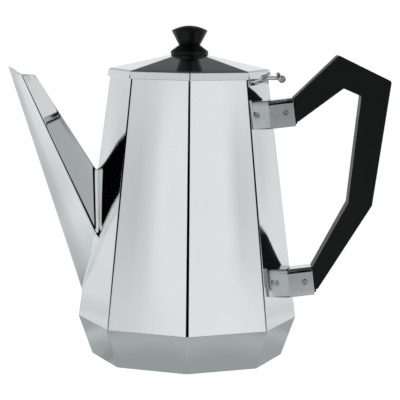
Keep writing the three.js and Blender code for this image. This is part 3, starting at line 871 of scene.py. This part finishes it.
def wing_strip(bracket, side):
    """The bent strip from a sleeve's side onto the panel, as rows of points up its height."""
    place = bracket_frame(bracket)
    along, _ = wing_directions(side)
    outer = wing_face(bracket, side, SHEET, BEND_RADIUS)
    inner = wing_face(bracket, side, 0, BEND_RADIUS + SHEET)
    corner_along = SLEEVE_HALF_WIDTH / math.cos(HALF_SIDE)
    section = outer + inner[::-1]
    arc = range(2, len(outer) - 2)
    rows = []
    for share in [step / WING_ROWS for step in range(WING_ROWS + 1)]:
        row = []
        for i, p in enumerate(section):
            index = i if i < len(outer) else len(section) - 1 - i
            low = -SLEEVE_HALF_HEIGHT + (SLIT_DEPTH if index in arc else 0)
            high = SLEEVE_HALF_HEIGHT
            beyond = max(Vector(p).dot(along) - corner_along, 0)
            row.append(place(p.x, p.y, low + (high - low) * share + bracket["shear"] * beyond))
        rows.append(row)
    return loft(rows)


def make_sleeve(bracket):
    """The folded channel that holds the handle: it starts along the body's two panels."""
    place = bracket_frame(bracket)
    high, wide = SLEEVE_HALF_HEIGHT, SLEEVE_HALF_WIDTH
    inner_high, inner_wide = high - SHEET, wide - SHEET
    outline = rounded(
        [(-wide, -high), (-wide, high), (0, high), (wide, high), (wide, -high),
         (inner_wide, -high), (inner_wide, inner_high), (0, inner_high), (-inner_wide, inner_high),
         (-inner_wide, -high)],
        [SLEEVE_CORNER, SLEEVE_FOLD_RADIUS, 0, SLEEVE_FOLD_RADIUS, SLEEVE_CORNER,
         SLEEVE_CORNER, SLEEVE_FOLD_RADIUS - SHEET, 0, SLEEVE_FOLD_RADIUS - SHEET, SLEEVE_CORNER], 8)

    def behind(y):
        return SLEEVE_START - SLEEVE_START_SLOPE * abs(y)

    def lay(y, v, u):
        return place(u + (1 - u / SLEEVE_REACH) * behind(y), y, v)

    return slab(outline, 0, SLEEVE_REACH, SLEEVE_EDGE, lay)


def make_bracket(level, bracket):
    """A bracket's sleeve and its two wings, as one piece."""
    parts = [make_sleeve(bracket), wing_strip(bracket, -1), wing_strip(bracket, 1)]
    obj = make_object(f"{level}_strap", *joined(parts), sharp_degrees=35)
    weigh_normals(obj)
    finish_piece(obj, POLISHED, "pot", "satin_steel", f"{level}_bracket")


def rivet_head(height):
    """A low head with a rolled edge and a small dished middle, standing on z = 0."""
    corners = [(RIVET_RADIUS * reach, height * rise) for reach, rise in RIVET_PROFILE]
    profile = rounded(corners + [(0, -RIVET_ROOT)], RIVET_ROUNDING, 4, closed=False)
    return turned([tuple(p) for p in profile], 40)


def make_wing_rivet(level, bracket, side, word):
    """A rivet's two heads: one on the wing, and one inside the pot."""
    place = bracket_frame(bracket)
    along, out = wing_directions(side)
    spot = along * bracket["rivet"] + out * (WING_LIFT + SHEET)
    climb = bracket["shear"] * (bracket["rivet"] - SLEEVE_HALF_WIDTH / math.cos(HALF_SIDE))
    middle = place(spot.x, spot.y, climb)
    normal = (place(spot.x + out.x, spot.y + out.y, climb) - middle).normalized()
    inside = middle - normal * (WING_LIFT + SHEET + WALL)
    heads = []
    for where, way in ((middle, normal), (inside, -normal)):
        turn = way.to_track_quat("Z", "Y").to_matrix().to_4x4()
        points, faces = rivet_head(RIVET_HEIGHT)
        heads.append((placed(points, Matrix.Translation(where) @ turn), faces))
    obj = make_object(f"{level}_rivet_{word}", *joined(heads))
    finish_piece(obj, SATIN, "pot", "satin_steel", f"{level}_wing_rivet_{word}")


def make_handle_pin(level, bracket):
    """The two heads of the pin that crosses a sleeve."""
    x, z = sleeve_point(bracket, PIN_REACH, 0)
    heads = []
    for side in (-1, 1):
        points, faces = rivet_head(PIN_HEAD_HEIGHT)
        turn = Matrix.Rotation(-side * math.pi / 2, 4, "X")
        heads.append((placed(points, Matrix.Translation((x, side * SLEEVE_HALF_WIDTH, z)) @ turn), faces))
    obj = make_object(f"{level}_pin", *joined(heads))
    finish_piece(obj, SATIN, "pot", "satin_steel", f"{level}_handle_pin")


def joined(parts):
    """Points and faces of several meshes taken together."""
    points, faces = [], []
    for more_points, more_faces in parts:
        base = len(points)
        points += more_points
        faces += [tuple(base + i for i in f) for f in more_faces]
    return points, faces


# ---------------------------------------------------------------- hinge and screw

def carry_over(name, material):
    """A CAD node whose shape is right keeps it and gets its material."""
    obj = frame["nodes"][name]
    obj.data.materials.clear()
    obj.data.materials.append(material)
    obj.data.shade_smooth()
    obj.data.set_sharp_from_angle(angle=math.radians(30))


# ---------------------------------------------------------------- build

make_body()
make_base_plate()
make_lid()
make_spout()
make_spout_fillet()
make_knob_foot()
make_knob_cap()
make_grip()
for bracket_level, bracket_sizes in BRACKETS.items():
    make_tang(bracket_level, bracket_sizes)
for bracket_level, bracket_sizes in BRACKETS.items():
    make_bracket(bracket_level, bracket_sizes)
for bracket_level, bracket_sizes in BRACKETS.items():
    make_wing_rivet(bracket_level, bracket_sizes, -1, "near")
    make_wing_rivet(bracket_level, bracket_sizes, 1, "far")
    make_handle_pin(bracket_level, bracket_sizes)
for node in ("hinge_body_leaf", "hinge_lid_leaf", "hinge_pin"):
    carry_over(node, POLISHED)
for node in ("knob_screw", "knob_washer"):
    carry_over(node, PLAIN)


# ---------------------------------------------------------------- stage

FLOOR_DROP = 0.05 * MM
TABLE_DROP = 0.15 * MM


def make_plane(name, size, drop):
    """A plain matt square on the stage, a little below the pot's foot."""
    half = size / 2
    corners = [(x * half, y * half, 0) for x, y in ((-1, -1), (1, -1), (1, 1), (-1, 1))]
    mesh = bpy.data.meshes.new(name)
    mesh.from_pydata(corners, [], [(0, 1, 2, 3)])
    plane = bpy.data.objects.new(name, mesh)
    plane.location.z = -drop
    bpy.context.scene.collection.objects.link(plane)
    material, tree, shader = new_material(name)
    mesh.materials.append(material)
    shader.inputs["Specular IOR Level"].default_value = 0.0
    return plane, tree, shader


def make_floor():
    """The pale floor that the camera sees, with the pot's faint shadow on it."""
    floor, _, shader = make_plane("floor", 12, FLOOR_DROP)
    shader.inputs["Base Color"].default_value = (0.6, 0.6, 0.6, 1)
    shader.inputs["Emission Color"].default_value = (1, 1, 1, 1)
    shader.inputs["Emission Strength"].default_value = 0.86
    floor.visible_glossy = False


# Brightness of the table top by distance from the pot's axis, in metres. The dim ring out to about 0.13 m is
# a painted shadow of the pot on the table top.
TABLE_GLOW = [
    (0.06, 0.26), (0.076, 0.36), (0.088, 0.26), (0.13, 0.26), (0.18, 0.56), (0.25, 0.67), (0.3, 0.6),
    (0.45, 0.7),
]
# How far the cool tint beside the pot has faded, by distance.
TABLE_COOL = [(0.13, 0.0), (0.22, 1.0)]
# How far the front's own brightness has replaced it, by metres forward less metres aside.
TABLE_FRONT = [(0.08, 0.0), (0.18, 1.0)]
TABLE_FRONT_GLOW = 0.28
# What the result is multiplied by, by degrees from straight in front, left negative.
TABLE_TURN = [(-125, 1.0), (-97, 1.2), (-82, 1.08), (-72, 0.78), (-64, 0.72), (-58, 1.0)]


def make_table():
    """What the steel reflects instead of the floor: a grey table top, brighter away from the pot, with the
    pot's shadow painted into its glow near the foot.
    """
    table, tree, shader = make_plane("table", 1.1, TABLE_DROP)
    table.visible_camera = False
    table.visible_diffuse = False
    shader.inputs["Base Color"].default_value = (0.12, 0.12, 0.12, 1)
    where = tree.nodes.new("ShaderNodeTexCoord")
    reach = tree.nodes.new("ShaderNodeVectorMath")
    reach.operation = "LENGTH"
    tree.links.new(where.outputs["Object"], reach.inputs[0])
    parts = tree.nodes.new("ShaderNodeSeparateXYZ")
    tree.links.new(where.outputs["Object"], parts.inputs["Vector"])
    aside = math_node(tree, "ABSOLUTE", parts.outputs["X"])
    forward = math_node(tree, "MULTIPLY", math_node(tree, "ADD", parts.outputs["Y"], aside), -1.0)
    forward = ramp(tree, forward, TABLE_FRONT)
    # The glow falls off towards the pot: this is the painted shadow of the pot on the table top.
    glow = mix(tree, forward, ramp(tree, reach.outputs["Value"], TABLE_GLOW), TABLE_FRONT_GLOW)
    ahead = math_node(tree, "MULTIPLY", parts.outputs["Y"], -1.0)
    bearing = math_node(tree, "ARCTAN2", parts.outputs["X"], ahead)
    turn = math_node(tree, "MULTIPLY_ADD", bearing, 0.5 / math.pi, 0.5)
    glow = math_node(tree, "MULTIPLY", glow, ramp(tree, turn, degrees(TABLE_TURN, 360, -180)))
    tree.links.new(glow, shader.inputs["Emission Strength"])
    faded = ramp(tree, reach.outputs["Value"], TABLE_COOL)
    tint = two_colours(tree, faded, (0.9, 0.985, 1.01), (0.99, 1.0, 1.0))
    tree.links.new(tint, shader.inputs["Emission Color"])


# Brightness round the pot at its own height, by degrees from straight in front (the camera), left negative.
RING = [
    (-180, 0.92), (-142, 0.92), (-137, 0.8), (-131, 0.6), (-126, 0.0), (-55, 0.0), (-50, 0.62),
    (-47, 0.78), (-44, 0.97), (-41, 0.9), (-38, 0.0), (38, 0.0), (41, 0.9), (44, 0.95), (47, 0.97),
    (50, 0.7), (55, 0.0), (126, 0.0), (131, 0.6), (137, 0.78), (142, 0.86), (180, 0.92),
]
# Brightness above the ring by degrees of rise, before and behind the pot, and how far it has taken over.
FRONT_RISE = [(12, 0.7), (30, 0.82), (38, 0.62), (52, 0.6), (62, 0.08)]
BACK_RISE = [(8, 0.88), (12, 0.8), (15, 0.66), (18, 0.6), (22, 0.5), (26, 0.14), (30, 0.07), (60, 0.08)]
RING_TOP = [(10, 0.0), (14, 1.0)]
# How far the ground has taken over by degrees below FOOT_START, before and behind the pot and beside it.
FOOT_START = math.radians(5)
RING_FOOT = [(5, 0.0), (8.5, 1.0)]
SIDE_FOOT = [(3, 0.0), (8, 1.0)]
# Which bearings count as beside the pot and as behind it, by degrees from straight in front.
BESIDE = [(48, 0.0), (55, 1.0), (124, 1.0), (130, 0.0)]
BEHIND = [(100, 0.0), (125, 1.0)]
# Brightness of the ground past the table, by degrees from straight in front.
FLOOR_RING = [(0, 0.42), (25, 0.46), (45, 0.64), (70, 0.75), (132, 0.86), (180, 0.8)]
# A dark flag over the camera, mostly to its right, that reaches up over the pot: by bearing and by rise.
FLAG_BEARING = [(-10, 0.0), (-5, 1.0), (37, 1.0), (41, 0.0)]
FLAG_RISE = [(9, 0.0), (11, 1.0)]


def make_studio():
    """Soft white panels round the pot with dark gaps between them, a dim top, a dark flag and lit ground."""
    world = bpy.data.worlds.new("studio")
    world.use_nodes = True
    bpy.context.scene.world = world
    tree = world.node_tree
    background = tree.nodes["Background"]
    where = tree.nodes.new("ShaderNodeTexCoord")
    parts = tree.nodes.new("ShaderNodeSeparateXYZ")
    tree.links.new(where.outputs["Generated"], parts.inputs["Vector"])
    x, y, z = (parts.outputs[i] for i in range(3))
    bearing = math_node(tree, "ARCTAN2", x, math_node(tree, "MULTIPLY", y, -1.0))
    turn = math_node(tree, "MULTIPLY_ADD", bearing, 0.5 / math.pi, 0.5)
    aside = math_node(tree, "DIVIDE", math_node(tree, "ABSOLUTE", bearing), math.pi)
    rise = math_node(tree, "DIVIDE", math_node(tree, "ARCSINE", z), math.pi / 2)
    fall = math_node(tree, "SUBTRACT", FOOT_START / (math.pi / 2), rise)

    ring = ramp(tree, turn, degrees(RING, 360, -180))
    front = ramp(tree, rise, degrees(FRONT_RISE, 90))
    back = ramp(tree, rise, degrees(BACK_RISE, 90))
    above = mix(tree, ramp(tree, aside, degrees(BEHIND, 180)), front, back)
    light = mix(tree, ramp(tree, rise, degrees(RING_TOP, 90)), ring, above)
    flag = math_node(tree, "MULTIPLY", ramp(tree, turn, degrees(FLAG_BEARING, 360, -180)),
                     ramp(tree, rise, degrees(FLAG_RISE, 90)))
    light = mix(tree, flag, light, 0.0)
    foot = mix(tree, ramp(tree, aside, degrees(BESIDE, 180)), ramp(tree, fall, degrees(RING_FOOT, 90)),
               ramp(tree, fall, degrees(SIDE_FOOT, 90)))
    light = mix(tree, foot, light, ramp(tree, aside, degrees(FLOOR_RING, 180)))
    path = tree.nodes.new("ShaderNodeLightPath")
    tree.links.new(mix(tree, path.outputs["Is Camera Ray"], light, 1.0), background.inputs["Strength"])
    background.inputs["Color"].default_value = (1, 1, 1, 1)


CAMERA_AWAY = 968.1 * MM
CAMERA_HEIGHT = 208.3 * MM
CAMERA_SIDE = 7.15 * MM
CAMERA_PITCH = math.radians(6.98)
CAMERA_ROLL = math.radians(0.59)
CAMERA_TURN = math.radians(0.63)
CAMERA_LENS_MM = 152.5
CAMERA_SHIFT = (-0.00125, 0.00125)


def make_camera():
    """The camera, in front of the pot and looking down a little."""
    data = bpy.data.cameras.new("camera")
    data.lens = CAMERA_LENS_MM
    data.sensor_width = 36
    data.shift_x, data.shift_y = CAMERA_SHIFT
    data.clip_start = 0.01
    data.clip_end = 50
    camera = bpy.data.objects.new("camera", data)
    bpy.context.scene.collection.objects.link(camera)
    look = Matrix.Rotation(math.pi / 2 - CAMERA_PITCH, 4, "X") @ Matrix.Rotation(CAMERA_ROLL, 4, "Z")
    place = Matrix.Translation((CAMERA_SIDE, -CAMERA_AWAY, CAMERA_HEIGHT))
    camera.matrix_world = Matrix.Rotation(-CAMERA_TURN, 4, "Z") @ place @ look
    bpy.context.scene.camera = camera


make_floor()
make_table()
make_studio()
make_camera()
bpy.context.scene.view_settings.view_transform = "Standard"
